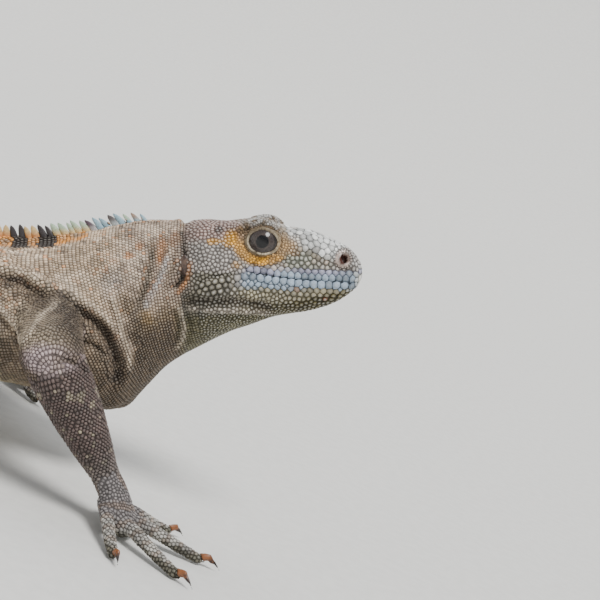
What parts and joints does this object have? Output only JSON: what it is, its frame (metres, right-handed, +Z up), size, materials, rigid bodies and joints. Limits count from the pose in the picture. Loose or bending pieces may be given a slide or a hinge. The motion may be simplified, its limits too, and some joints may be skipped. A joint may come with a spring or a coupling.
{
  "type": "black spiny-tailed iguana",
  "caption": "Life-size still model of a spiny-tailed iguana lying with its chest propped on its forelegs, head raised, tail stretched out behind.",
  "frame": {"origin": "on the floor under the middle of the belly, at the belly's resting flat", "axes": "+X forward to the snout, +Y to the animal's left, +Z up"},
  "size_m": [0.8757, 0.2941, 0.1234],
  "materials": {
    "skin_head": "small grey-blue scales, satin",
    "skin_back": "fine tan scales with dark saddles, satin",
    "skin_belly": "smooth cream-grey scales, satin",
    "skin_limb": "dark keeled scales with pale dots, satin",
    "skin_tail": "ringed spiny scales, satin",
    "eye": "moist dark eye",
    "eardrum": "thin smooth skin",
    "claw": "dark horn"
  },
  "bodies": {
    "root": {"head": "skin_head", "lower_jaw": "skin_head", "neck": "skin_back", "chest": "skin_back", "belly": "skin_belly", "pelvis": "skin_back", "tail_1": "skin_tail", "tail_2": "skin_tail", "tail_3": "skin_tail", "tail_4": "skin_tail", "tail_5": "skin_tail", "eye_left": "eye", "ear_left": "eardrum", "upper_arm_left": "skin_limb", "forearm_left": "skin_limb", "hand_left": "skin_limb", "thigh_left": "skin_limb", "shin_left": "skin_limb", "foot_left": "skin_limb", "claw_fore_left_1": "claw", "claw_fore_left_2": "claw", "claw_fore_left_3": "claw", "claw_fore_left_4": "claw", "claw_fore_left_5": "claw", "claw_hind_left_1": "claw", "claw_hind_left_2": "claw", "claw_hind_left_3": "claw", "claw_hind_left_4": "claw", "claw_hind_left_5": "claw", "eye_right": "eye", "ear_right": "eardrum", "upper_arm_right": "skin_limb", "forearm_right": "skin_limb", "hand_right": "skin_limb", "thigh_right": "skin_limb", "shin_right": "skin_limb", "foot_right": "skin_limb", "claw_fore_right_1": "claw", "claw_fore_right_2": "claw", "claw_fore_right_3": "claw", "claw_fore_right_4": "claw", "claw_fore_right_5": "claw", "claw_hind_right_1": "claw", "claw_hind_right_2": "claw", "claw_hind_right_3": "claw", "claw_hind_right_4": "claw", "claw_hind_right_5": "claw"}
  },
  "joints": []
}
